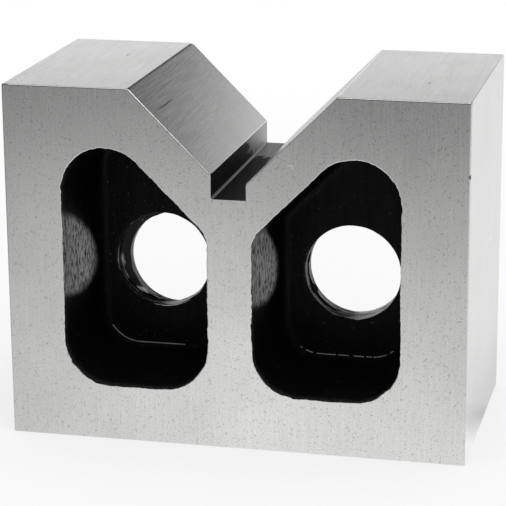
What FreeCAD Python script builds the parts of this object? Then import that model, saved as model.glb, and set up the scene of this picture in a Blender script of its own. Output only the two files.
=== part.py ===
# Cast-iron vee block. A rectangular casting is ground all round, with a vee and a relief slot cut
# along its top. Two cored pockets in each end face run down to a thin web at mid depth, and a
# round window is cored through each half of that web. It is one casting, so it is one body.
# Origin: centre of the ground base. +X across the vee, +Y from the front end to the back end,
# +Z up. Front and back ends are alike.
import FreeCAD, Part
import math
import os

import Sketcher

NODE = "v_block"

# Driving sizes in millimetres, and in degrees where the name says angle. Walls are given at the
# end faces and with the cores on centre.
SIZES = {
    "block_width": 150.0,  # across the vee
    "block_depth": 80.0,  # along the vee, end face to end face
    "block_height": 117.2,  # base to the two top faces
    "edge_break": 0.4,  # stoned break on the edges of the ground faces
    "vee_opening": 66.5,  # across the mouth of the vee
    "vee_angle": 90.0,  # between the two flanks
    "relief_width": 11.4,  # slot that clears the corner of square work
    "relief_depth": 6.7,  # from the ends of the flanks down to the slot's floor
    "core_shift": 1.2,  # the pocket cores and the slot sit this far towards -X
    "column_width": 14.6,  # upright between the two pockets
    "side_wall": 20.0,  # pocket to the block's side
    "base_wall": 18.6,  # pocket to the base
    "arm_wall": 14.5,  # pocket to the vee flank, square to the flank
    "foot_radius": 15.2,  # the pocket's two lower corners
    "crown_radius": 14.7,  # its top corner
    "throat_radius": 8.5,  # where its sloping side meets the column
    "draft_angle": 3.0,  # taper of the pocket's walls, closing towards the web
    "web_thickness": 9.0,
    "web_fillet": 3.5,  # where the pocket's walls run into the web
    "window_diameter": 32.0,
    "window_height": 51.2,  # its centre above the base
    "window_rim": 1.2,  # rounded rim of the window
}

START, END, CENTRE = range(1, 4)  # the points of a line, an arc or a circle
AXIS_X, AXIS_Y = range(-1, -3, -1)  # a sketch's own two axes
ROOT = (AXIS_X, START)  # its origin point
TOLERANCE = 1e-4


def make_sheet(doc):
    """The driving sizes as aliased cells, to which every feature below is bound."""
    sheet = doc.addObject("Spreadsheet::Sheet", "Sizes")
    for row, (name, value) in enumerate(SIZES.items(), start=1):
        sheet.set(f"A{row}", name)
        sheet.set(f"B{row}", str(value))
        sheet.setAlias(f"B{row}", name)
    doc.recompute()
    return sheet


def origin_plane(body, role):
    return next(f for f in body.Origin.OriginFeatures if f.Role == role)


def end_sketch(body, name, sideways=None, forward=None):
    """A sketch square to Y, x across the block and y up it, shifted by the expressions given."""
    sketch = body.newObject("Sketcher::SketchObject", name)
    sketch.AttachmentSupport = (origin_plane(body, "XZ_Plane"), [""])
    sketch.MapMode = "FlatFace"
    if sideways:
        sketch.setExpression("AttachmentOffset.Base.x", sideways)
    if forward:
        sketch.setExpression("AttachmentOffset.Base.z", forward)
    return sketch


def size(sketch, kind, *args, formula):
    """A constraint whose value comes from the sheet."""
    index = sketch.addConstraint(Sketcher.Constraint(kind, *args))
    sketch.setExpression(f"Constraints[{index}]", formula)


def polygon(sketch, corners):
    """Lines from corner to corner, joined end to end."""
    points = [FreeCAD.Vector(x, z, 0) for x, z in corners]
    for here, there in zip(points, points[1:] + points[:1]):
        sketch.addGeometry(Part.LineSegment(here, there), False)
    for line in range(len(points)):
        sketch.addConstraint(Sketcher.Constraint("Coincident", line, END, (line + 1) % len(points), START))


def along_axes(sketch, level=(), upright=()):
    for line in level:
        sketch.addConstraint(Sketcher.Constraint("Horizontal", line))
    for line in upright:
        sketch.addConstraint(Sketcher.Constraint("Vertical", line))


def extrude(body, kind, name, sketch, length=None, one_way=False):
    """A pad or pocket of a sketch: both ways along Y, and right through where no length is given."""
    feature = body.newObject(f"PartDesign::{kind}", name)
    feature.Profile = sketch
    feature.SideType = "One side" if one_way else "Symmetric"
    if length:
        feature.Type = "Length"
        feature.setExpression("Length", length)
    else:
        feature.Type = "ThroughAll"
    return feature


def rounded_corner(before, corner, after, radius):
    """Where an arc of this radius leaves and joins the two sides of a corner, and its centre."""
    back = (before - corner).normalize()
    ahead = (after - corner).normalize()
    half = back.getAngle(ahead) / 2
    leaves = corner + back * (radius / math.tan(half))
    joins = corner + ahead * (radius / math.tan(half))
    centre = corner + (back + ahead).normalize() * (radius / math.sin(half))
    return leaves, joins, centre


def rounded_outline(sketch, sheet, corners, names):
    """Sides and tangent corner arcs, anticlockwise. Side n runs from corner n to the next one."""
    points = [FreeCAD.Vector(x, z, 0) for x, z in corners]
    radii = [getattr(sheet, name) for name in names]
    count = len(points)
    bends = [
        rounded_corner(points[n - 1], points[n], points[(n + 1) % count], radii[n]) for n in range(count)
    ]
    for n in range(count):
        following = bends[(n + 1) % count]
        sketch.addGeometry(Part.LineSegment(bends[n][1], following[0]), False)
    for n, (leaves, joins, centre) in enumerate(bends):
        circle = Part.Circle(centre, FreeCAD.Vector(0, 0, 1), radii[n])
        first, last = (math.atan2(p.y - centre.y, p.x - centre.x) for p in (leaves, joins))
        sketch.addGeometry(Part.ArcOfCircle(circle, first, last), False)
    for n in range(count):
        arc = count + n
        sketch.addConstraint(Sketcher.Constraint("Tangent", (n - 1) % count, END, arc, START))
        sketch.addConstraint(Sketcher.Constraint("Tangent", arc, END, n, START))
        size(sketch, "Radius", arc, radii[n], formula=f"Sizes.{names[n]}")


def make_block(body, sheet):
    """The ground rectangular stock."""
    half = sheet.block_width / 2
    sketch = end_sketch(body, "BlockOutline")
    polygon(sketch, [(-half, 0), (half, 0), (half, sheet.block_height), (-half, sheet.block_height)])
    along_axes(sketch, level=(0, 2), upright=(1, 3))
    sketch.addConstraint(Sketcher.Constraint("Symmetric", 0, START, 0, END, *ROOT))
    size(sketch, "DistanceX", 0, START, 0, END, sheet.block_width, formula="Sizes.block_width")
    size(sketch, "DistanceY", 1, START, 1, END, sheet.block_height, formula="Sizes.block_height")
    return extrude(body, "Pad", "Block", sketch, length="Sizes.block_depth")


def make_vee(body, sheet):
    """The vee, ground from end to end."""
    half = sheet.vee_opening / 2
    depth = half / math.tan(math.radians(sheet.vee_angle / 2))
    top = sheet.block_height
    sketch = end_sketch(body, "VeeProfile")
    polygon(sketch, [(half, top), (-half, top), (0, top - depth)])
    sketch.addConstraint(Sketcher.Constraint("Symmetric", 0, END, 0, START, AXIS_Y))
    sketch.addConstraint(Sketcher.Constraint("PointOnObject", 2, START, AXIS_Y))
    size(sketch, "DistanceY", *ROOT, 0, START, top, formula="Sizes.block_height")
    size(sketch, "DistanceX", 0, END, 0, START, sheet.vee_opening, formula="Sizes.vee_opening")
    size(sketch, "Angle", 2, START, 1, END, math.radians(sheet.vee_angle), formula="Sizes.vee_angle")
    return extrude(body, "Pocket", "Vee", sketch)


def make_relief(body, sheet):
    """The slot at the root of the vee, as wide as one milling cutter."""
    half = sheet.relief_width / 2
    flank = (sheet.vee_opening - sheet.relief_width) / 2 / math.tan(math.radians(sheet.vee_angle / 2))
    floor = sheet.block_height - flank - sheet.relief_depth
    sketch = end_sketch(body, "ReliefProfile", sideways="-Sizes.core_shift")
    top = sheet.block_height
    polygon(sketch, [(-half, floor), (half, floor), (half, top), (-half, top)])
    along_axes(sketch, level=(2,), upright=(1, 3))
    sketch.addConstraint(Sketcher.Constraint("Symmetric", 0, START, 0, END, AXIS_Y))
    size(sketch, "DistanceX", 0, START, 0, END, sheet.relief_width, formula="Sizes.relief_width")
    size(sketch, "DistanceY", *ROOT, 2, START, top, formula="Sizes.block_height")
    size(
        sketch, "DistanceY", *ROOT, 0, START, floor,
        formula="Sizes.block_height - Sizes.relief_depth"
        " - (Sizes.vee_opening - Sizes.relief_width) / 2 / tan(Sizes.vee_angle / 2 * 1 deg)",
    )
    return extrude(body, "Pocket", "ReliefSlot", sketch)


def make_pockets(body, sheet):
    """The front right pocket, and its mirror images across the cores' centre line and the web."""
    slope = 1 / math.tan(math.radians(sheet.vee_angle / 2))
    inner = sheet.column_width / 2
    outer = sheet.block_width / 2 - sheet.side_wall
    apex = sheet.block_height - sheet.vee_opening / 2 * slope
    lift = apex - sheet.arm_wall * math.sqrt(1 + slope**2)  # the sloping side's line at mid block
    sketch = end_sketch(body, "PocketOutline", "-Sizes.core_shift", "Sizes.block_depth / 2")
    corners = [
        (inner, sheet.base_wall),
        (outer, sheet.base_wall),
        (outer, lift + outer * slope),
        (inner, lift + inner * slope),
    ]
    rounded_outline(sketch, sheet, corners, ["foot_radius", "foot_radius", "crown_radius", "throat_radius"])
    floor, wall, roof, column = range(4)
    along_axes(sketch, level=(floor,), upright=(wall, column))
    size(sketch, "DistanceY", *ROOT, floor, START, sheet.base_wall, formula="Sizes.base_wall")
    size(sketch, "DistanceX", *ROOT, wall, START, outer, formula="Sizes.block_width / 2 - Sizes.side_wall")
    size(sketch, "DistanceX", *ROOT, column, END, inner, formula="Sizes.column_width / 2")
    falls = -math.radians(90 + sheet.vee_angle / 2)
    size(sketch, "Angle", roof, falls, formula="-90 - Sizes.vee_angle / 2")
    root = sketch.addGeometry(Part.Point(FreeCAD.Vector(0, apex, 0)), True)
    sketch.addConstraint(Sketcher.Constraint("PointOnObject", root, START, AXIS_Y))
    size(
        sketch, "DistanceY", *ROOT, root, START, apex,
        formula="Sizes.block_height - Sizes.vee_opening / 2 / tan(Sizes.vee_angle / 2 * 1 deg)",
    )
    size(sketch, "Distance", root, START, roof, sheet.arm_wall, formula="Sizes.arm_wall")

    depth = "(Sizes.block_depth - Sizes.web_thickness) / 2"
    pocket = extrude(body, "Pocket", "FrontRightPocket", sketch, length=depth, one_way=True)
    pocket.setExpression("TaperAngle", "-Sizes.draft_angle")

    across = body.newObject("PartDesign::Mirrored", "AcrossCores")
    across.MirrorPlane = (sketch, ["V_Axis"])
    over_web = body.newObject("PartDesign::Mirrored", "OverWeb")
    over_web.MirrorPlane = (origin_plane(body, "XZ_Plane"), [""])
    pockets = body.newObject("PartDesign::MultiTransform", "Pockets")
    pockets.Originals = [pocket]
    pockets.Transformations = [across, over_web]
    body.Tip = pockets
    return pockets


def edges_where(shape, wanted):
    """Names of the edges that the test picks out."""
    return [f"Edge{n}" for n, edge in enumerate(shape.Edges, start=1) if wanted(edge)]


def lies_at(edge, axis, *places):
    """Whether the whole edge lies in one of the planes square to this axis."""
    box = edge.BoundBox
    low, high = getattr(box, f"{axis}Min"), getattr(box, f"{axis}Max")
    return any(abs(low - place) < TOLERANCE and abs(high - place) < TOLERANCE for place in places)


def dress(body, kind, name, base, edges, amount, formula):
    """A fillet or chamfer on some edges of the feature before it."""
    feature = body.newObject(f"PartDesign::{kind}", name)
    feature.Base = (base, edges)
    feature.setExpression(amount, formula)
    return feature


def break_edges(body, sheet, base):
    """Small breaks where two ground faces meet. The slot's own edges stay as the cutter left them."""
    half_width, half_depth = sheet.block_width / 2, sheet.block_depth / 2
    half_mouth = sheet.vee_opening / 2
    slot = -sheet.core_shift - sheet.relief_width / 2, -sheet.core_shift + sheet.relief_width / 2

    def wanted(edge):
        if lies_at(edge, "Y", -half_depth, half_depth):
            box = edge.BoundBox
            in_slot = box.XMin > slot[0] - TOLERANCE and box.XMax < slot[1] + TOLERANCE
            return not in_slot
        return lies_at(edge, "X", -half_width, -half_mouth, half_mouth, half_width)

    edges = edges_where(base.Shape, wanted)
    return dress(body, "Chamfer", "EdgeBreaks", base, edges, "Size", "Sizes.edge_break")


def fillet_web(body, sheet, base):
    """The pockets' walls run into both sides of the web with a cast radius."""
    half_web = sheet.web_thickness / 2
    edges = edges_where(base.Shape, lambda edge: lies_at(edge, "Y", -half_web, half_web))
    return dress(body, "Fillet", "WebFillets", base, edges, "Radius", "Sizes.web_fillet")


def make_windows(body, sheet):
    """Two round windows through the web, each midway between the column and the side wall."""
    reach = (sheet.column_width / 2 + sheet.block_width / 2 - sheet.side_wall) / 2
    radius = sheet.window_diameter / 2
    sketch = end_sketch(body, "WindowOutline")
    for side in (-1, 1):
        centre = FreeCAD.Vector(side * reach, sheet.window_height, 0)
        circle = sketch.addGeometry(Part.Circle(centre, FreeCAD.Vector(0, 0, 1), radius), False)
        size(sketch, "Radius", circle, radius, formula="Sizes.window_diameter / 2")
        size(sketch, "DistanceY", *ROOT, circle, CENTRE, centre.y, formula="Sizes.window_height")
        points = (circle, CENTRE, *ROOT) if side < 0 else (*ROOT, circle, CENTRE)
        size(
            sketch, "DistanceX", *points, reach,
            formula="(Sizes.column_width / 2 + Sizes.block_width / 2 - Sizes.side_wall) / 2",
        )
    return extrude(body, "Pocket", "Windows", sketch)


def round_windows(body, sheet, base):
    """The sand core leaves each window's rims rounded."""
    half_web = sheet.web_thickness / 2
    radius = sheet.window_diameter / 2

    def wanted(edge):
        at_rim = lies_at(edge, "Y", -half_web, half_web) and isinstance(edge.Curve, Part.Circle)
        return at_rim and abs(edge.Curve.Radius - radius) < TOLERANCE

    edges = edges_where(base.Shape, wanted)
    return dress(body, "Fillet", "WindowRims", base, edges, "Radius", "Sizes.window_rim")


def check(doc, body):
    for item in doc.Objects:
        if {"Invalid", "Error"} & set(item.State):
            raise RuntimeError(f"{item.Label} failed: {item.getStatusString()}")
    for sketch in doc.findObjects("Sketcher::SketchObject"):
        if not sketch.FullyConstrained:
            raise RuntimeError(f"{sketch.Label} isn't fully constrained")
    shape = body.Shape
    if shape.isNull() or not shape.isValid() or len(shape.Solids) != 1:
        raise RuntimeError(f"{body.Label} isn't one valid solid")


def main():
    os.makedirs("parts", exist_ok=True)
    doc = FreeCAD.newDocument("VeeBlock")
    sheet = make_sheet(doc)
    body = doc.addObject("PartDesign::Body", "BlockBody")
    body.Label = NODE
    for make in (make_block, make_vee, make_relief):
        feature = make(body, sheet)
        doc.recompute()
    break_edges(body, sheet, feature)
    doc.recompute()
    pockets = make_pockets(body, sheet)
    doc.recompute()
    fillet_web(body, sheet, pockets)
    doc.recompute()
    windows = make_windows(body, sheet)
    doc.recompute()
    round_windows(body, sheet, windows)
    doc.recompute()
    check(doc, body)
    body.Shape.exportStep(f"parts/{NODE}.step")
    print(f"{NODE}: volume {body.Shape.Volume:.0f} cubic mm, {len(body.Shape.Faces)} faces")


main()
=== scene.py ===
import math

import bmesh
import bpy
from mathutils import Matrix, Vector, noise


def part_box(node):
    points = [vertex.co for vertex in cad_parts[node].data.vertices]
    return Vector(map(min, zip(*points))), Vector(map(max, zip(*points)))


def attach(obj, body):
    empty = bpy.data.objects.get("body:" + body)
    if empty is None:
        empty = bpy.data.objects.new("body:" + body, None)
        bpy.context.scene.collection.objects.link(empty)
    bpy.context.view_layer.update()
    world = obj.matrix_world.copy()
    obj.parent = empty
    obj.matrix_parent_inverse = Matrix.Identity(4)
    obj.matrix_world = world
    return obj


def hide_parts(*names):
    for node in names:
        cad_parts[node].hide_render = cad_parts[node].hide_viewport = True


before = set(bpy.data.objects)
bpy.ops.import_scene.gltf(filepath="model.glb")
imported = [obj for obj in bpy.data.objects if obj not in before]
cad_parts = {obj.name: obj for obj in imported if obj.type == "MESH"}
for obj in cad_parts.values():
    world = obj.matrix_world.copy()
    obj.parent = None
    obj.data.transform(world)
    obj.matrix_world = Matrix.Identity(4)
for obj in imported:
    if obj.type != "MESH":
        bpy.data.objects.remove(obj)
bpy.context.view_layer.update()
lowCorner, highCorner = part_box("v_block")
mm = 0.001
halfWidth = highCorner.x / mm
halfDepth = highCorner.y / mm
height = highCorner.z / mm
print("frame loaded: block", 2 * halfWidth, "by", 2 * halfDepth, "by", height, "mm")


# shared helpers

def linearColour(hexColour, alpha=1.0):
    # sRGB hex to the linear colour that shaders want
    channels = [int(hexColour[i:i + 2], 16) / 255 for i in (1, 3, 5)]
    return [c / 12.92 if c <= 0.04045 else ((c + 0.055) / 1.055) ** 2.4 for c in channels] + [alpha]


multiply = {"operation": "MULTIPLY"}
smooth = {"interpolation_type": "SMOOTHSTEP"}


def addNode(tree, kind, settings=None, inputs=None):
    # an input is a plain value, an output of an earlier node, or the node itself for its first output
    node = tree.nodes.new("ShaderNode" + kind)
    for name, value in (settings or {}).items():
        setattr(node, name, value)
    for name, value in (inputs or {}).items():
        if isinstance(value, bpy.types.Node):
            value = value.outputs[0]
        if isinstance(value, bpy.types.NodeSocket):
            tree.links.new(value, node.inputs[name])
        else:
            node.inputs[name].default_value = value
    return node


def newMaterial(name):
    material = bpy.data.materials.new(name)
    material.use_nodes = True
    material.node_tree.nodes.clear()
    return material, material.node_tree


def linkedObject(name, data):
    obj = bpy.data.objects.new(name, data)
    bpy.context.scene.collection.objects.link(obj)
    return obj


def perMillimetre(size):
    # scale of a texture whose features are this many mm across, in the object's own metres
    return 1 / (size * mm)


def wobble(seed, *place):
    # smooth noise from -1 to 1 along a line or over a surface
    spot = Vector([seed * 17.3 + p for p in place] + [seed * 3.7] * (3 - len(place)))
    return noise.noise(spot, noise_basis="PERLIN_ORIGINAL")


# where each finish stands in the list of materials
finishSlots = {"ground": 0, "pocket": 1, "slot": 2, "rim": 3, "highlightAndScrape": 4}


# the ground block: its profile, and the shell drawn along it

blockSizes = {  # mm
    "edgeBreak": 0.4,  # stoned edges of the ground faces
    "longBreak": 0.46,  # the same along the block
    "breakWear": 0.2,  # how unevenly the edges were stoned, as a share of the break
    "veeOpening": 66.5,
    "reliefWidth": 11.4,
    "reliefDepth": 6.7,
    "slotFillet": 0.5,  # between the slot's left wall and its floor
    "slotBreak": 0.18,  # where that wall meets the flank
    "coreShift": -1.2,  # the cores and the slot sit to the left of the block's centre line
    "spacing": 2.0,  # of the shell's vertices
}
slotRoot = height - blockSizes["veeOpening"] / 2  # where the two flanks would meet
slotLeft = blockSizes["coreShift"] - blockSizes["reliefWidth"] / 2
slotRight = blockSizes["coreShift"] + blockSizes["reliefWidth"] / 2
slotFloor = slotRoot + blockSizes["reliefWidth"] / 2 - blockSizes["reliefDepth"]


def profileCorners():
    # corner, the setback of its break, and whether the side after it belongs to the slot
    half = blockSizes["veeOpening"] / 2
    broken = blockSizes["longBreak"]
    return [
        ((-halfWidth, 0), broken, False),
        ((halfWidth, 0), broken, False),
        ((halfWidth, height), broken, False),
        ((half, height), broken, False),
        ((slotRight, slotRoot + slotRight), 0, True),
        ((slotRight, slotFloor), 0, True),
        ((slotLeft, slotFloor), blockSizes["slotFillet"], True),
        ((slotLeft, slotRoot - slotLeft), blockSizes["slotBreak"], False),
        ((-half, height), broken, False),
        ((-halfWidth, height), broken, False),
    ]


def turnedLeft(direction):
    return Vector((-direction.y, direction.x))


def cornerArc(before, corner, after, setback, segments):
    # a corner rounded between two points that lie this far back along its sides
    back, ahead = (before - corner).normalized(), (after - corner).normalized()
    half = back.angle(ahead) / 2
    radius = setback * math.tan(half)
    centre = corner + (back + ahead).normalized() * (radius / math.sin(half))
    first = corner + back * setback - centre
    turn = math.pi - 2 * half
    side = 1 if back.cross(ahead) < 0 else -1
    points = []
    for step in range(segments + 1):
        angle = side * turn * step / segments
        c, s = math.cos(angle), math.sin(angle)
        points.append(centre + Vector((first.x * c - first.y * s, first.x * s + first.y * c)))
    return points, centre, side


def blockProfile():
    # points round the end face, anticlockwise; each carries whether its next side is in the slot
    corners = profileCorners()
    places = [Vector(place) for place, setback, inSlot in corners]
    points = []
    for n, (place, setback, inSlot) in enumerate(corners):
        corner, after = places[n], places[(n + 1) % len(places)]
        bend = [corner]
        if setback:
            bend = cornerArc(places[n - 1], corner, after, setback, 3)[0]
        points += [(p, inSlot) for p in bend]
        nextSetback = corners[(n + 1) % len(corners)][1]
        start, end = bend[-1], after + (corner - after).normalized() * nextSetback
        pieces = max(1, round((end - start).length / blockSizes["spacing"]))
        points += [(start.lerp(end, step / pieces), inSlot) for step in range(1, pieces)]
    return points


def breakDirections(points):
    # how far each point moves for a break of 1 mm on the ground sides and none on the slot's sides
    moves = []
    for n, (place, inSlot) in enumerate(points):
        before, wasSlot = points[n - 1]
        after = points[(n + 1) % len(points)][0]
        normalA = turnedLeft((place - before).normalized())
        normalB = turnedLeft((after - place).normalized())
        amountA, amountB = 1 - wasSlot, 1 - inSlot
        across = normalA.cross(normalB)
        if abs(across) < 1e-4:
            moves.append(normalA * amountA)
            continue
        moves.append(Vector((
            (amountA * normalB.y - amountB * normalA.y) / across,
            (amountB * normalA.x - amountA * normalB.x) / across,
        )))
    return moves


def buildShell(bm):
    # returns the front and back rings that bound the end faces
    points = blockProfile()
    moves = breakDirections(points)
    edgeBreak = blockSizes["edgeBreak"]
    inner = halfDepth - edgeBreak
    count = round(2 * inner / blockSizes["spacing"])
    stations = [-inner + 2 * inner * step / count for step in range(1, count)]
    rings = []
    for end in (-1, 1):
        bevelled = []
        for turn in (0, 30, 60, 90):
            angle = math.radians(turn)
            ring = []
            for n, (place, inSlot) in enumerate(points):
                wear = 1 + blockSizes["breakWear"] * wobble(end + 5, place.x / 7, place.y / 7)
                amount = edgeBreak * wear
                moved = place + moves[n] * (amount * (1 - math.sin(angle)))
                depth = amount * (1 - math.cos(angle))
                ring.append(bm.verts.new((moved.x, end * (halfDepth - depth), moved.y)))
            bevelled.append(ring)
        if end < 0:
            rings += bevelled
            for y in stations:
                rings.append([bm.verts.new((place.x, y, place.y)) for place, inSlot in points])
        else:
            rings += bevelled[::-1]
    count = len(points)
    for ring, following in zip(rings, rings[1:]):
        for n in range(count):
            m = (n + 1) % count
            face = bm.faces.new((ring[n], ring[m], following[m], following[n]))
            face.material_index = finishSlots["slot" if points[n][1] else "ground"]
            sides = (ring[n].co - following[n].co).length, (points[m][0] - points[n][0]).length
            face.smooth = min(sides) < 0.75 * edgeBreak  # only the stoned edges are round
    return rings[0], rings[-1]


# the cored pockets: one tube from the front mouth through the window to the back mouth

pocketSizes = {  # mm, and degrees where the name says angle
    "columnWidth": 14.6,
    "sideWall": {"front": 20.0, "back": 18.7},  # to the mouth; the back cores stood a little wider
    "baseWall": 18.6,
    "armWall": 14.5,  # square to the vee flank
    "footRadius": 15.2,
    "crownRadius": 14.7,
    "throatRadius": 8.5,
    "bendSteps": (28, 28, 40, 12),  # vertices round the foot, outer foot, crown and throat
    "sideSteps": (20, 52, 50, 44),  # and along the sides after them
    "draftAngle": 3.0,
    "webThickness": 9.0,
    "webFillet": 3.5,
    "windowRadius": 16.0,
    "highlightFrom": {"left": 30, "right": 17},  # a painted highlight line on the fillet at the web's foot, drawn as light bare iron, in outline vertices
    "highlightTo": {"left": 66, "right": 60},
    "highlightKept": {"left": 0.7, "right": 0.2},  # the lower, the more broken the line
    "boreRings": 8,  # rings either side of mid web that have the rubbed rim paint
    "flashGap": 0.2,  # the flash stands this far from the middle of the web
    "flash": (0.02, 0.05, 0.5, 2.0, 0.32),  # its least height, mean, swing, tongue and where tongues start
    "windowRim": 0.7,
    "spacing": 1.2,
    "mouthRagged": 0.26,  # how far the mouth's edge wanders where the grinding cut the cast skin
    "mouthEdge": 0.32,  # bare broken edge round the mouth
    "castLumps": (0.16, 0.08, 0.05),  # depth of the sand-cast unevenness
    "castLumpSizes": (14.0, 4.5, 1.8),
}
# centres of the window cores; the two halves of the mould didn't quite meet
windowCores = {
    ("left", "front"): (-32.6, 51.8),
    ("left", "back"): (-29.5, 51.1),
    ("right", "front"): (32.0, 50.8),
    ("right", "back"): (32.3, 51.1),
}


shares = {}  # how much of the cast unevenness each pocket vertex takes


def pocketOutline(end):
    # points and inward normals of the right pocket at its mouth, measured from the cores' centre line
    sizes = pocketSizes
    inner = sizes["columnWidth"] / 2
    outer = halfWidth - sizes["sideWall"][end]
    floor = sizes["baseWall"]
    lift = slotRoot - sizes["armWall"] * math.sqrt(2)
    corners = [
        ((inner, floor), sizes["footRadius"]),
        ((outer, floor), sizes["footRadius"]),
        ((outer, lift + outer), sizes["crownRadius"]),
        ((inner, lift + inner), sizes["throatRadius"]),
    ]
    places = [Vector(place) for place, radius in corners]
    bends = []
    for n, (place, radius) in enumerate(corners):
        before, after = places[n - 1], places[(n + 1) % 4]
        half = (before - places[n]).angle(after - places[n]) / 2
        segments = sizes["bendSteps"][n]
        bends.append(cornerArc(before, places[n], after, radius / math.tan(half), segments))
    points = []
    for n, (arc, centre, side) in enumerate(bends):
        points += [(p, (centre - p).normalized()) for p in arc]
        start, end = arc[-1], bends[(n + 1) % 4][0][0]
        pieces = sizes["sideSteps"][n]
        inward = turnedLeft((end - start).normalized())
        points += [(start.lerp(end, step / pieces), inward) for step in range(1, pieces)]
    return points


def raggedMouth(seed, place):
    # small bites and lumps of the cast edge
    slow = wobble(seed, place.x / 5, place.y / 5)
    fast = wobble(seed + 3, place.x / 1.1, place.y / 1.1)
    bite = max(0, wobble(seed + 7, place.x / 3, place.y / 3) - 0.35) * 2.2
    return pocketSizes["mouthRagged"] * (0.9 * slow + 0.8 * fast - bite)


def pocketRings(outline, mirror, core, seed):
    # rings from the mouth to mid web: x, depth under the end face, z, share of cast unevenness;
    # then each vertex's bearing from the window's centre, and which ring the painted highlight line follows
    sizes = pocketSizes
    slope = math.tan(math.radians(sizes["draftAngle"]))
    radius, rim = sizes["windowRadius"], sizes["windowRim"]
    web = halfDepth - sizes["webThickness"] / 2
    fillet = sizes["webFillet"]
    draft = math.radians(sizes["draftAngle"])
    wander = [raggedMouth(seed, place) for place, inward in outline]

    def wallRing(inset, depth, share, ragged=0.0):
        ring = []
        for (place, inward), offset in zip(outline, wander):
            p = place + inward * (inset + ragged * offset)
            ring.append((blockSizes["coreShift"] + mirror * p.x, depth, p.y, share))
        return ring

    edge = sizes["mouthEdge"]
    rings = [wallRing(-edge, 0, 0, 1), wallRing(-edge * 0.3, edge * 0.3, 0, 1), wallRing(0, edge, 0, 1)]
    filletCentre = (web - fillet) * slope + fillet / math.cos(draft)
    wallEnd = web - fillet + fillet * math.sin(draft)
    count = round((wallEnd - edge) / sizes["spacing"])
    for step in range(1, count):
        depth = edge + (wallEnd - edge) * step / count
        rings.append(wallRing(depth * slope, depth, min(1, depth / 3), math.exp(-depth / 1.5)))
    for step in (0, 1, 2, 3, 4, 4.3, 5, 6):  # the narrow one carries the painted highlight line
        angle = draft + (math.pi / 2 - draft) * step / 6
        if step == 4:
            highlightRing = len(rings)
        inset = filletCentre - fillet * math.cos(angle)
        rings.append(wallRing(inset, web - fillet + fillet * math.sin(angle), 1))

    start = rings[-1]
    bearings = [math.atan2(z - core[1], x - core[0]) for x, depth, z, share in start]

    def windowRing(centre, reach, depth, share):
        return [
            (centre[0] + reach * math.cos(b), depth, centre[1] + reach * math.sin(b), share)
            for b in bearings
        ]

    circle = windowRing(core, radius + rim, web, 1)
    for step in range(1, 13):
        t = step / 13
        rings.append([
            (a[0] + (b[0] - a[0]) * t, web, a[2] + (b[2] - a[2]) * t, 1) for a, b in zip(start, circle)
        ])
    for step in range(5):
        angle = math.pi / 2 * step / 4
        reach = radius + rim - rim * math.sin(angle)
        rings.append(windowRing(core, reach, web + rim - rim * math.cos(angle), 0.8))
    for depth in (web + 2.2, web + 3.2, halfDepth - 0.35):  # the bore, up to the flash
        rings.append(windowRing(core, radius, depth, 0.5))
    return rings, bearings, highlightRing


def addPocket(bm, side, seed):
    # returns the tube's two mouth rings
    sizes = pocketSizes
    mirror = 1 if side == "right" else -1
    least, mean, swing, tongue, tongueFrom = sizes["flash"]
    tube, highlightRings = [], []
    for end, name in ((-1, "front"), (1, "back")):
        core = windowCores[(side, name)]
        outline = pocketOutline(name)
        rings, bearings, highlightRing = pocketRings(outline, mirror, core, seed + end)
        highlightRings.append(highlightRing)
        flashRing = []
        for b in bearings:  # flash where the two halves of the core met
            torn = wobble(seed + 11, 3 * math.cos(b), 3 * math.sin(b))
            flash = max(least, mean + swing * torn + tongue * max(0, torn - tongueFrom))
            reach = sizes["windowRadius"] - flash
            flashRing.append((core[0] + reach * math.cos(b), halfDepth - sizes["flashGap"],
                              core[1] + reach * math.sin(b), 0.3))
        rings.append(flashRing)
        placed = [[(x, end * (halfDepth - depth), z, share) for x, depth, z, share in r] for r in rings]
        tube += placed if end < 0 else placed[::-1]
    verts = [[bm.verts.new(p[:3]) for p in ring] for ring in tube]
    for ring, vertRing in zip(tube, verts):
        for p, v in zip(ring, vertRing):
            shares[v] = p[3]
    count = len(outline)
    for r, (ring, following) in enumerate(zip(verts, verts[1:])):
        isMouth = r < 1 or r > len(verts) - 3
        isBore = abs(r + 0.5 - (len(verts) - 1) / 2) < sizes["boreRings"]
        for n in range(count):
            m = (n + 1) % count
            face = bm.faces.new((ring[m], ring[n], following[n], following[m]))
            # the painted highlight line on the fillet at the web's foot
            inLine = r == highlightRings[0] and sizes["highlightFrom"][side] <= n < sizes["highlightTo"][side]
            isHighlightLine = inLine and wobble(seed + 21, n / 2.9) < sizes["highlightKept"][side]
            finish = "ground" if isMouth else "highlightAndScrape" if isHighlightLine else "rim" if isBore else "pocket"
            face.material_index = finishSlots[finish]
            face.smooth = True
    return verts[0], verts[-1]


def roughenCasting(bm):
    # sand-cast unevenness of the skin, along each vertex's own normal
    bm.normal_update()
    moves = []
    for v, share in shares.items():
        amount = 0
        for layer, (depth, size) in enumerate(zip(pocketSizes["castLumps"], pocketSizes["castLumpSizes"])):
            amount += depth * noise.noise(v.co / size + Vector((layer * 31.0, 7.0, 3.0)))
        moves.append((v, v.normal * (amount * share)))
    for v, move in moves:
        v.co += move


def ringEdges(bm, ring):
    return [bm.edges.get((ring[n - 1], ring[n])) for n in range(len(ring))]


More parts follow.
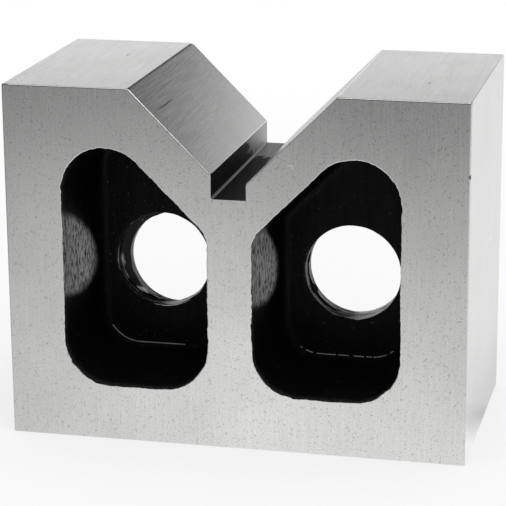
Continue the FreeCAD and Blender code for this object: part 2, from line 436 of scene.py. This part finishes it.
def makeCasting(materials):
    bm = bmesh.new()
    frontRing, backRing = buildShell(bm)
    leftMouths = addPocket(bm, "left", 2)
    rightMouths = addPocket(bm, "right", 9)
    bmesh.ops.recalc_face_normals(bm, faces=bm.faces)
    roughenCasting(bm)
    for end, outer, mouths in ((-1, frontRing, (leftMouths[0], rightMouths[0])),
                               (1, backRing, (leftMouths[1], rightMouths[1]))):
        edges = ringEdges(bm, outer) + ringEdges(bm, mouths[0]) + ringEdges(bm, mouths[1])
        filled = bmesh.ops.triangle_fill(bm, edges=edges, use_beauty=True, normal=(0, end, 0))
        for item in filled["geom"]:
            if isinstance(item, bmesh.types.BMFace):
                item.material_index = finishSlots["ground"]
                item.smooth = False
    bmesh.ops.recalc_face_normals(bm, faces=bm.faces)
    openEdges = sum(1 for e in bm.edges if not e.is_manifold)
    volume = round(bm.calc_volume(signed=True))
    print("casting:", len(bm.faces), "faces,", openEdges, "open edges, volume", volume, "cubic mm")
    bmesh.ops.scale(bm, vec=(mm, mm, mm), verts=bm.verts)
    mesh = bpy.data.meshes.new("veeBlockCasting")
    bm.to_mesh(mesh)
    bm.free()
    for material in materials:
        mesh.materials.append(material)
    rounded = [face.use_smooth for face in mesh.polygons]
    mesh.set_sharp_from_angle(angle=math.radians(24))
    mesh.polygons.foreach_set("use_smooth", rounded)  # the line above rounds every face
    return linkedObject("veeBlockCasting", mesh)


# materials

ironFinish = {
    "colour": "#c8c8c7",
    "pore": "#a9a9a8",
    "poreSize": 0.75,  # mm; graphite pores are finer, and are drawn coarse enough to show
    "grainSize": 0.4,  # mm; drawn coarser than the iron's own grain for the same reason
    "grainContrast": 0.12,
    "cloudSize": 22,
    "strokeWidth": 0.5,  # mm; grinding strokes, drawn coarser than the grit left them
    "strokeLength": 18,
    "roughness": 0.18,
    "reliefDepth": 0.02,  # mm
    "lightMark": "#ececec",
    "darkMark": "#565656",
}

handlingMarks = (  # centre and half sizes in mm, and whether the mark is light
    ((-25.4, -24.0, 109.3), (0.25, 9.0, 0.25), False),
    ((57.7, -12.4, height), (0.5, 0.8, 0.5), False),
    ((-49.0, 14.0, height), (0.4, 0.9, 0.5), False),
    ((halfWidth - 0.1, 0.2 - halfDepth, 94.1), (0.6, 0.6, 0.8), False),
    ((18.6, -halfDepth, 95.0), (0.9, 0.5, 0.2), True),
    ((19.4, -halfDepth, 94.4), (0.2, 0.5, 0.5), True),
    ((halfWidth, 11.0, 61.0), (0.5, 6.0, 0.18), True),
    ((22.0, halfDepth, 14.0), (4.0, 0.5, 0.18), True),
    ((-52.0, halfDepth, 12.0), (0.6, 0.5, 0.5), False),
)


def makeGroundIron():
    # Grey cast iron, surface-ground and stoned: a dull silvery sheen with fine strokes and dark pores.
    material, tree = newMaterial("groundGreyIron")
    finish = ironFinish
    place = addNode(tree, "TexCoord").outputs["Object"]
    normal = addNode(tree, "SeparateXYZ", inputs={0: addNode(tree, "NewGeometry").outputs["Normal"]})

    # strokes run upright on the end faces and along the block on the others
    across, along = perMillimetre(finish["strokeWidth"]), perMillimetre(finish["strokeLength"])
    upright = addNode(tree, "Mapping", inputs={"Vector": place, "Scale": (across, across, along)})
    lengthwise = addNode(tree, "Mapping", inputs={"Vector": place, "Scale": (across, along, across)})
    facing = addNode(tree, "Math", {"operation": "ABSOLUTE"}, {0: normal.outputs["Y"]})
    onEnd = addNode(tree, "Math", {"operation": "GREATER_THAN"}, {0: facing, 1: 0.7})
    stroked = addNode(tree, "Mix", {"data_type": "VECTOR"}, {0: onEnd, 4: lengthwise, 5: upright})
    strokes = addNode(tree, "TexNoise", inputs={"Vector": stroked.outputs[1], "Scale": 1.0, "Detail": 2.0})
    strokeShade = addNode(tree, "MapRange", inputs={
        "Value": strokes, "From Min": 0.3, "From Max": 0.7, "To Min": 0.94, "To Max": 1.04})

    pores = addNode(tree, "TexNoise", inputs={
        "Vector": place, "Scale": perMillimetre(finish["poreSize"]), "Detail": 3.0, "Roughness": 0.6})
    poreMask = addNode(tree, "MapRange", smooth, {"Value": pores, "From Min": 0.3, "From Max": 0.43})
    clouds = addNode(tree, "TexNoise", inputs={
        "Vector": place, "Scale": perMillimetre(finish["cloudSize"]), "Detail": 3.0})
    cloudShade = addNode(tree, "MapRange", inputs={
        "Value": clouds, "From Min": 0.3, "From Max": 0.7, "To Min": 0.95, "To Max": 1.03})
    grain = addNode(tree, "TexNoise", inputs={
        "Vector": place, "Scale": perMillimetre(finish["grainSize"]), "Detail": 1.0})
    grainShade = addNode(tree, "MapRange", inputs={
        "Value": grain, "From Min": 0.25, "From Max": 0.75,
        "To Min": 1 - finish["grainContrast"], "To Max": 1 + finish["grainContrast"]})
    clouded = addNode(tree, "Math", multiply, {0: cloudShade, 1: grainShade})
    shade = addNode(tree, "Math", multiply, {0: clouded, 1: strokeShade})
    iron = addNode(tree, "MixRGB", inputs={
        "Fac": poreMask, "Color1": linearColour(finish["pore"]), "Color2": linearColour(finish["colour"])})
    tint = addNode(tree, "VectorMath", {"operation": "SCALE"}, {0: iron, "Scale": shade})
    for centre, halfSizes, isLight in handlingMarks:
        offset = addNode(tree, "VectorMath", {"operation": "SUBTRACT"}, {
            0: place, 1: [c * mm for c in centre]})
        scaled = addNode(tree, "VectorMath", {"operation": "DIVIDE"}, {
            0: offset, 1: [c * mm for c in halfSizes]})
        reach = addNode(tree, "VectorMath", {"operation": "LENGTH"}, {0: scaled})
        inside = addNode(tree, "MapRange", smooth, {
            "Value": reach.outputs["Value"], "From Min": 1.2, "From Max": 0.6})
        markColour = linearColour(finish["lightMark" if isLight else "darkMark"])
        tint = addNode(tree, "MixRGB", inputs={"Fac": inside, "Color1": tint, "Color2": markColour})

    rough = addNode(tree, "MapRange", inputs={
        "Value": strokes, "From Min": 0.3, "From Max": 0.7,
        "To Min": finish["roughness"] - 0.02, "To Max": finish["roughness"] + 0.03})
    relief = addNode(tree, "Math", {"operation": "MULTIPLY_ADD"}, {0: strokes, 1: 0.4, 2: poreMask})
    bump = addNode(tree, "Bump", inputs={
        "Strength": 0.12, "Distance": finish["reliefDepth"] * mm, "Height": relief})
    surface = addNode(tree, "BsdfPrincipled", inputs={
        "Base Color": tint, "Metallic": 1.0, "Roughness": rough, "Normal": bump})
    addNode(tree, "OutputMaterial", inputs={"Surface": surface})
    return material


paintFinish = {
    "colour": "#090909",
    "worn": "#ededed",  # painted sheen on the walls that face right, standing in for their glossy reflection of the light through the windows
    "sheenHeight": 62,  # mm above the base, the middle of the painted sheen at the mouth
    "sheenDrop": 0.3,  # how much lower it lies for each mm further in
    "wornHalfHeight": 14,
    "sheenDepth": 31,  # mm in from the end face
    "dashSize": (0.9, 2.4),  # mm across and upright; dashes in the painted sheen
    "lipWearAndLight": "#2c2c2c",  # paint rubbed thin just inside the mouths, and lightened there as painted light where the lip faces the front
    "lipDepth": 3.6,
    "speck": "#5a5a5a",
    "speckSize": 0.8,
    "highlightAndScrape": "#f2f2f2",  # bare iron scraped round the bore of the windows, and a painted highlight on the bore's lower side
    "scrapedLine": (12, 0.6),  # mm round the bore and along it
    "undersideHighlightPatch": 4,  # mm; patches of the painted highlight on the bore's lower side
    "grain": 0.9,  # mm; sand grains under the paint
    "grainDepth": 0.16,
    "brushMark": (1.6, 14),  # mm across and upright
    "roughness": {"pocket": 0.4, "rim": 0.3},
    "specular": {"pocket": 0.08, "rim": 0.2},
}


def makeFoundryPaint(name, where):
    # Black foundry paint brushed over a sand-cast skin: near black, with a broken gloss on its grain, a
    # painted sheen on the walls that face right, and paint rubbed thin and painted lighter just inside the
    # mouths.
    material, tree = newMaterial(name)
    finish = paintFinish
    roughness = finish["roughness"][where]
    place = addNode(tree, "TexCoord").outputs["Object"]
    normal = addNode(tree, "NewGeometry").outputs["Normal"]
    parts = addNode(tree, "SeparateXYZ", inputs={0: place})
    faces = addNode(tree, "SeparateXYZ", inputs={0: normal})

    grain = addNode(tree, "TexNoise", inputs={
        "Vector": place, "Scale": perMillimetre(finish["grain"]), "Detail": 4.0, "Roughness": 0.62})
    across, upright = [perMillimetre(size) for size in finish["brushMark"]]
    brushed = addNode(tree, "Mapping", inputs={"Vector": place, "Scale": (across, across, upright)})
    streaks = addNode(tree, "TexNoise", inputs={
        "Vector": brushed, "Scale": 1.0, "Detail": 3.0, "Roughness": 0.62})
    rough = addNode(tree, "MapRange", inputs={
        "Value": streaks, "From Min": 0.3, "From Max": 0.7,
        "To Min": roughness - 0.08, "To Max": roughness + 0.14})
    relief = addNode(tree, "Math", {"operation": "MULTIPLY_ADD"}, {0: streaks, 1: 0.8, 2: grain})
    bump = addNode(tree, "Bump", inputs={
        "Strength": 0.9, "Distance": finish["grainDepth"] * mm, "Height": relief})

    # the painted sheen is a dome in from the mouth at half height, brighter further in, in short upright
    # dashes
    toEnd = addNode(tree, "Math", {"operation": "ABSOLUTE"}, {0: parts.outputs["Y"]})
    deep = addNode(tree, "Math", {"operation": "SUBTRACT"}, {0: halfDepth * mm, 1: toEnd})
    inward = addNode(tree, "Math", {"operation": "DIVIDE"}, {0: deep, 1: finish["sheenDepth"] * mm})
    level = addNode(tree, "Math", {"operation": "MULTIPLY_ADD"}, {
        0: deep, 1: finish["sheenDrop"], 2: parts.outputs["Z"]})
    above = addNode(tree, "Math", {"operation": "SUBTRACT"}, {0: level, 1: finish["sheenHeight"] * mm})
    upward = addNode(tree, "Math", {"operation": "DIVIDE"}, {0: above, 1: finish["wornHalfHeight"] * mm})
    inwardSquared = addNode(tree, "Math", {"operation": "POWER"}, {0: inward, 1: 2.0})
    squares = addNode(tree, "Math", {"operation": "MULTIPLY_ADD"}, {0: upward, 1: upward, 2: inwardSquared})
    reach = addNode(tree, "Math", {"operation": "SQRT"}, {0: squares})
    dome = addNode(tree, "MapRange", smooth, {"Value": reach, "From Min": 1.08, "From Max": 0.84})
    facesRight = addNode(tree, "MapRange", smooth, {
        "Value": faces.outputs["X"], "From Min": 0.6, "From Max": 0.9})
    sheenPatch = addNode(tree, "Math", multiply, {0: dome, 1: facesRight})
    stronger = addNode(tree, "MapRange", inputs={"Value": inward, "From Max": 0.8, "To Min": 0.28})
    strength = addNode(tree, "Math", multiply, {0: sheenPatch, 1: stronger})
    across, upright = [perMillimetre(size) for size in finish["dashSize"]]
    dashPlace = addNode(tree, "Mapping", inputs={"Vector": place, "Scale": (across, across, upright)})
    dashNoise = addNode(tree, "TexNoise", inputs={
        "Vector": dashPlace, "Scale": 1.0, "Detail": 3.0, "Roughness": 0.62})
    dashes = addNode(tree, "MapRange", smooth, {"Value": dashNoise, "From Min": 0.36, "From Max": 0.58})
    worn = addNode(tree, "Math", multiply, {0: strength, 1: dashes})

    # rubbed paint and painted light on the grain just inside the mouths
    nearMouth = addNode(tree, "MapRange", smooth, {
        "Value": deep, "From Min": finish["lipDepth"] * mm, "From Max": 0.0})
    onGrain = addNode(tree, "MapRange", smooth, {"Value": grain, "From Min": 0.3, "From Max": 0.6})
    lipWearAndLight = addNode(tree, "Math", multiply, {0: nearMouth, 1: onGrain})
    dust = addNode(tree, "TexNoise", inputs={
        "Vector": place, "Scale": perMillimetre(finish["speckSize"]), "Detail": 2.0, "Roughness": 0.62})
    specks = addNode(tree, "MapRange", smooth, {"Value": dust, "From Min": 0.7, "From Max": 0.76})
    colour = linearColour(finish["colour"])
    # the sheen layer is painted sheen, and the lip layer is partly painted light
    for layer, mask in (("lipWearAndLight", lipWearAndLight), ("speck", specks), ("worn", worn)):
        colour = addNode(tree, "MixRGB", inputs={
            "Fac": mask, "Color1": colour, "Color2": linearColour(finish[layer])})

    if where == "rim":  # scraped round the bore where the flash was knocked out; the bore's lower side, which faces up, takes a painted highlight
        around, inside = [perMillimetre(size) for size in finish["scrapedLine"]]
        linePlace = addNode(tree, "Mapping", inputs={"Vector": place, "Scale": (around, inside, around)})
        lineNoise = addNode(tree, "TexNoise", inputs={
            "Vector": linePlace, "Scale": 1.0, "Detail": 2.0, "Roughness": 0.62})
        lines = addNode(tree, "MapRange", smooth, {"Value": lineNoise, "From Min": 0.57, "From Max": 0.64})
        # painted highlight on the bore's surfaces that face up
        upLeft = addNode(tree, "VectorMath", {"operation": "DOT_PRODUCT"}, {0: normal, 1: (-0.5, 0, 0.87)})
        under = addNode(tree, "MapRange", smooth, {
            "Value": upLeft.outputs["Value"], "From Min": 0.78, "From Max": 0.96})
        patchNoise = addNode(tree, "TexNoise", inputs={
            "Vector": place, "Scale": perMillimetre(finish["undersideHighlightPatch"]),
            "Detail": 3.0, "Roughness": 0.62})
        patches = addNode(tree, "MapRange", smooth, {
            "Value": patchNoise, "From Min": 0.3, "From Max": 0.42})
        undersideHighlight = addNode(tree, "Math", multiply, {0: under, 1: patches})
        highlightAndScrape = addNode(tree, "Math", {"operation": "MAXIMUM"}, {0: lines, 1: undersideHighlight})
        colour = addNode(tree, "MixRGB", inputs={
            "Fac": highlightAndScrape, "Color1": colour, "Color2": linearColour(finish["highlightAndScrape"])})
    surface = addNode(tree, "BsdfPrincipled", inputs={
        "Base Color": colour, "Roughness": rough, "IOR": 1.5,
        "Specular IOR Level": finish["specular"][where], "Normal": bump})
    addNode(tree, "OutputMaterial", inputs={"Surface": surface})
    return material


highlightLineFinish = {
    "colour": "#b4b4b4",
    "metallic": 0.3,
    "roughness": 0.5,
}


def makeHighlightLineIron():
    # Light, rough cast iron in a thin line where the web meets the pocket: a painted highlight on the
    # fillet there.
    material, tree = newMaterial("paintedHighlightIron")
    surface = addNode(tree, "BsdfPrincipled", inputs={
        "Base Color": linearColour(highlightLineFinish["colour"]),
        "Metallic": highlightLineFinish["metallic"], "Roughness": highlightLineFinish["roughness"]})
    addNode(tree, "OutputMaterial", inputs={"Surface": surface})
    return material


slotFinish = {
    "dark": "#0d0d0d",
    # bright bare iron for the painted reflection at the far end and the painted highlight in the corner
    "paintedShine": "#adadad",
    "sheenFrom": 12,  # mm along the block from its middle, where the painted reflection starts on the wall
    "sheenSlant": 1.6,  # mm sooner for each mm higher
    "sheenWander": 26,  # how far that edge strays
    "sheenFade": 9,
    "patchSize": (2, 6),  # mm across and along the slot
    "cornerHighlightLine": (0.75, 0.5),  # mm from the left corner; a painted highlight line, bright bare iron inside the second, black outside the first
    "cutterMark": 0.8,
    "cutterMarkDepth": 0.06,
}


def makeSlotIron():
    # Cast iron as the slotting cutter left it, blacked over most of its length; its far end and its left
    # corner are drawn as bright bare iron, a painted reflection and a painted highlight.
    material, tree = newMaterial("blackedMilledIron")
    finish = slotFinish
    place = addNode(tree, "TexCoord").outputs["Object"]
    parts = addNode(tree, "SeparateXYZ", inputs={0: place})
    across, along = [perMillimetre(size) for size in finish["patchSize"]]
    drawn = addNode(tree, "Mapping", inputs={"Vector": place, "Scale": (across, along, across)})
    patches = addNode(tree, "TexNoise", inputs={
        "Vector": drawn, "Scale": 1.0, "Detail": 4.0, "Roughness": 0.65})
    # painted reflection: the far end of the wall turns bright bare iron where it would mirror the bright
    # backdrop
    slanted = addNode(tree, "Math", {"operation": "MULTIPLY_ADD"}, {
        0: parts.outputs["Z"], 1: finish["sheenSlant"], 2: parts.outputs["Y"]})
    edge = addNode(tree, "Math", {"operation": "MULTIPLY_ADD"}, {
        0: patches, 1: finish["sheenWander"] * mm, 2: slanted})
    start = finish["sheenFrom"] + finish["sheenWander"] / 2 + finish["sheenSlant"] * (slotFloor + 3)
    worn = addNode(tree, "MapRange", smooth, {
        "Value": edge, "From Min": start * mm, "From Max": (start + finish["sheenFade"]) * mm})
    # painted highlight along the corner between the left wall and the floor
    corner = addNode(tree, "CombineXYZ", inputs={
        "X": slotLeft * mm, "Y": parts.outputs["Y"], "Z": slotFloor * mm})
    away = addNode(tree, "VectorMath", {"operation": "DISTANCE"}, {0: place, 1: corner})
    outside, inside = finish["cornerHighlightLine"]
    cornerHighlight = addNode(tree, "MapRange", smooth, {
        "Value": away.outputs["Value"], "From Min": outside * mm, "From Max": inside * mm})
    paintedShine = addNode(tree, "Math", {"operation": "MAXIMUM"}, {0: worn, 1: cornerHighlight})
    colour = addNode(tree, "MixRGB", inputs={
        "Fac": paintedShine, "Color1": linearColour(finish["dark"]), "Color2": linearColour(finish["paintedShine"])})
    marks = addNode(tree, "TexNoise", inputs={
        "Vector": place, "Scale": perMillimetre(finish["cutterMark"]), "Detail": 3.0})
    bump = addNode(tree, "Bump", inputs={
        "Strength": 0.6, "Distance": finish["cutterMarkDepth"] * mm, "Height": marks})
    surface = addNode(tree, "BsdfPrincipled", inputs={
        "Base Color": colour, "Metallic": paintedShine, "Roughness": 0.5,
        "Specular IOR Level": 0.2, "Normal": bump})
    addNode(tree, "OutputMaterial", inputs={"Surface": surface})
    return material


materials = [  # in the order of finishSlots
    makeGroundIron(),
    makeFoundryPaint("blackFoundryPaint", "pocket"),
    makeSlotIron(),
    makeFoundryPaint("rubbedRimPaint", "rim"),
    makeHighlightLineIron(),
]
print("materials made")
casting = makeCasting(materials)
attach(casting, "root")
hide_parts("v_block")
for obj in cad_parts.values():
    obj.data.materials.clear()
    obj.data.materials.append(materials[0])


# floor, lights and camera

studio = {
    "floorColour": "#f2f2f2",
    "floorRadius": 4.0,  # m
    "whiteFrom": 0.1,  # m from the block, where the lit paper starts to fade to pure white
    "whiteBy": 0.6,
    "shadowKept": 0.32,  # share of the truly lit paper seen beside the block
    "shadowMirrored": 0.15,  # the same where the metal mirrors the paper
    "poolReach": ((-0.62, -0.02), (0.25, 1.4)),  # mirrored paper in front: m along Y, and its glow
    "poolEnd": ((0.04, -0.02), (0.0, 1.0)),
    "poolLean": 0.42,  # how the bright band swings to the left away from the block
    "poolLeft": ((-0.24, 0.03), (0.2, 1.0)),  # across that band: m from its line, and the share of its glow
    "poolRight": ((0.03, 0.18), (1.0, 0.74)),
    "rightGlow": ((0.06, 0.085), (0.0, 1.02)),  # to the right of the block, m along X
    "backGlow": ((-0.03, 0.02), (0.0, 0.86)),  # behind it, m along Y
    "backLeft": ((-0.3, -0.2), (0.3, 1.0)),
    "screenTop": 13.5,  # degrees above the floor; the lit screen behind the block ends there
    "screenBlur": 1.5,
    "screenBright": 1.22,
    "roomDark": 0.07,
    "frontShare": 0.25,  # of that screen's light, from the room in front
    "panels": (  # soft lights out of the picture, mirrored in the stoned edges
        ((0.69, -0.35, 0.63), 0.12, 0.9),  # direction, spread and strength
        ((-0.91, -0.05, 0.4), 0.08, 0.7),
    ),
    "lampPower": 9,  # W
    "lampSize": (1.5, 1.2),
    "lampPlace": (0.25, -0.25, 1.15),
    "fill": 0.6,  # even light from all round on dull surfaces
}
white = (1, 1, 1, 1)


def makeFloor():
    bm = bmesh.new()
    bmesh.ops.create_circle(bm, cap_ends=True, segments=96, radius=studio["floorRadius"])
    mesh = bpy.data.meshes.new("paperFloor")
    bm.to_mesh(mesh)
    bm.free()
    floor = linkedObject("paperFloor", mesh)
    material, tree = newMaterial("whiteStudioPaper")
    place = addNode(tree, "TexCoord").outputs["Object"]
    parts = addNode(tree, "SeparateXYZ", inputs={0: place})
    x, y = parts.outputs["X"], parts.outputs["Y"]
    seen = addNode(tree, "LightPath")

    # what mirrored rays see of the paper: bright in front, to the right and behind, dark far off
    beside = addNode(tree, "Math", {"operation": "MULTIPLY_ADD"}, {0: y, 1: -studio["poolLean"], 2: x})
    ramps = {}
    for name, value in (("poolLeft", beside), ("poolRight", beside), ("poolEnd", y), ("poolReach", y),
                        ("rightGlow", x), ("backGlow", y), ("backLeft", x)):
        (start, end), (low, high) = studio[name]
        ramps[name] = addNode(tree, "MapRange", inputs={
            "Value": value, "From Min": start, "From Max": end, "To Min": low, "To Max": high})
    across = addNode(tree, "Math", multiply, {0: ramps["poolLeft"], 1: ramps["poolRight"]})
    inFront = addNode(tree, "Math", multiply, {0: across, 1: ramps["poolEnd"]})
    front = addNode(tree, "Math", multiply, {0: ramps["poolReach"], 1: inFront})
    back = addNode(tree, "Math", multiply, {0: ramps["backGlow"], 1: ramps["backLeft"]})
    nearer = addNode(tree, "Math", {"operation": "MAXIMUM"}, {0: front, 1: ramps["rightGlow"]})
    pool = addNode(tree, "Math", {"operation": "MAXIMUM"}, {0: nearer, 1: back})
    strength = addNode(tree, "Mix", {"data_type": "FLOAT"}, {
        0: seen.outputs["Is Camera Ray"], 2: pool, 3: 1.0})

    distance = addNode(tree, "VectorMath", {"operation": "LENGTH"}, {0: place})
    far = addNode(tree, "MapRange", smooth, {
        "Value": distance.outputs["Value"], "From Min": studio["whiteFrom"], "From Max": studio["whiteBy"],
        "To Min": 1 - studio["shadowKept"], "To Max": 1.0})
    direct = addNode(tree, "Math", multiply, {0: far, 1: seen.outputs["Is Camera Ray"]})
    mirrored = addNode(tree, "Math", multiply, {
        0: seen.outputs["Is Glossy Ray"], 1: 1 - studio["shadowMirrored"]})
    share = addNode(tree, "Math", {"operation": "ADD"}, {0: direct, 1: mirrored})
    paper = addNode(tree, "BsdfDiffuse", inputs={"Color": linearColour(studio["floorColour"])})
    glow = addNode(tree, "Emission", inputs={"Color": white, "Strength": strength})
    mixed = addNode(tree, "MixShader", inputs={0: share, 1: paper, 2: glow})
    addNode(tree, "OutputMaterial", inputs={"Surface": mixed})
    mesh.materials.append(material)


def makeWorld():
    world = bpy.data.worlds.new("studioSurround")
    bpy.context.scene.world = world
    world.use_nodes = True
    tree = world.node_tree
    tree.nodes.clear()
    direction = addNode(tree, "TexCoord").outputs["Generated"]
    parts = addNode(tree, "SeparateXYZ", inputs={0: direction})
    top, blur = studio["screenTop"], studio["screenBlur"]
    screen = addNode(tree, "MapRange", smooth, {
        "Value": parts.outputs["Z"], "From Min": math.sin(math.radians(top - blur)),
        "From Max": math.sin(math.radians(top + blur)),
        "To Min": studio["screenBright"], "To Max": studio["roomDark"]})
    behind = addNode(tree, "MapRange", smooth, {
        "Value": parts.outputs["Y"], "From Min": -0.5, "From Max": 0.3,
        "To Min": studio["frontShare"], "To Max": 1.0})
    strength = addNode(tree, "Math", multiply, {0: screen, 1: behind})
    for aim, spread, bright in studio["panels"]:
        towards = addNode(tree, "VectorMath", {"operation": "DOT_PRODUCT"}, {
            0: direction, 1: Vector(aim).normalized()})
        panel = addNode(tree, "MapRange", smooth, {
            "Value": towards.outputs["Value"], "From Min": 1 - spread, "From Max": 1 - spread / 3,
            "To Max": bright})
        strength = addNode(tree, "Math", {"operation": "ADD"}, {0: strength, 1: panel})
    seen = addNode(tree, "LightPath")
    soft = addNode(tree, "Background", inputs={"Color": white, "Strength": studio["fill"]})
    mirrored = addNode(tree, "Background", inputs={"Color": white, "Strength": strength})
    backdrop = addNode(tree, "Background", inputs={"Color": white, "Strength": 1.0})
    room = addNode(tree, "MixShader", inputs={0: seen.outputs["Is Glossy Ray"], 1: soft, 2: mirrored})
    whole = addNode(tree, "MixShader", inputs={0: seen.outputs["Is Camera Ray"], 1: room, 2: backdrop})
    addNode(tree, "OutputWorld", inputs={"Surface": whole})


def makeLamp():
    data = bpy.data.lights.new("overheadSoftbox", "AREA")
    data.shape = "RECTANGLE"
    data.size, data.size_y = studio["lampSize"]
    data.energy = studio["lampPower"]
    lamp = linkedObject("overheadSoftbox", data)
    lamp.location = studio["lampPlace"]  # it hangs level, facing straight down


viewpoint = {  # a long lens from the front right, a little above the block
    "place": (0.16003, -0.68916, 0.25769),  # m
    "heading": 13.293,  # degrees to the left of straight ahead
    "pitch": 16.019,  # degrees down
    "roll": 0.393,
    "lens": 156.74,  # mm on a 36 mm sensor
}


def makeCamera():
    data = bpy.data.cameras.new("photographer")
    data.sensor_width = 36
    data.lens = viewpoint["lens"]
    data.clip_start, data.clip_end = 0.01, 20
    camera = linkedObject("photographer", data)
    turn = Matrix.Rotation(math.radians(viewpoint["heading"]), 4, "Z")
    tilt = Matrix.Rotation(math.radians(90 - viewpoint["pitch"]), 4, "X")
    roll = Matrix.Rotation(math.radians(-viewpoint["roll"]), 4, "Z")
    camera.matrix_world = Matrix.Translation(viewpoint["place"]) @ turn @ tilt @ roll
    bpy.context.scene.camera = camera


makeFloor()
makeWorld()
makeLamp()
makeCamera()
bpy.context.scene.view_settings.view_transform = "Standard"
print("studio made")

bpy.context.view_layer.update()
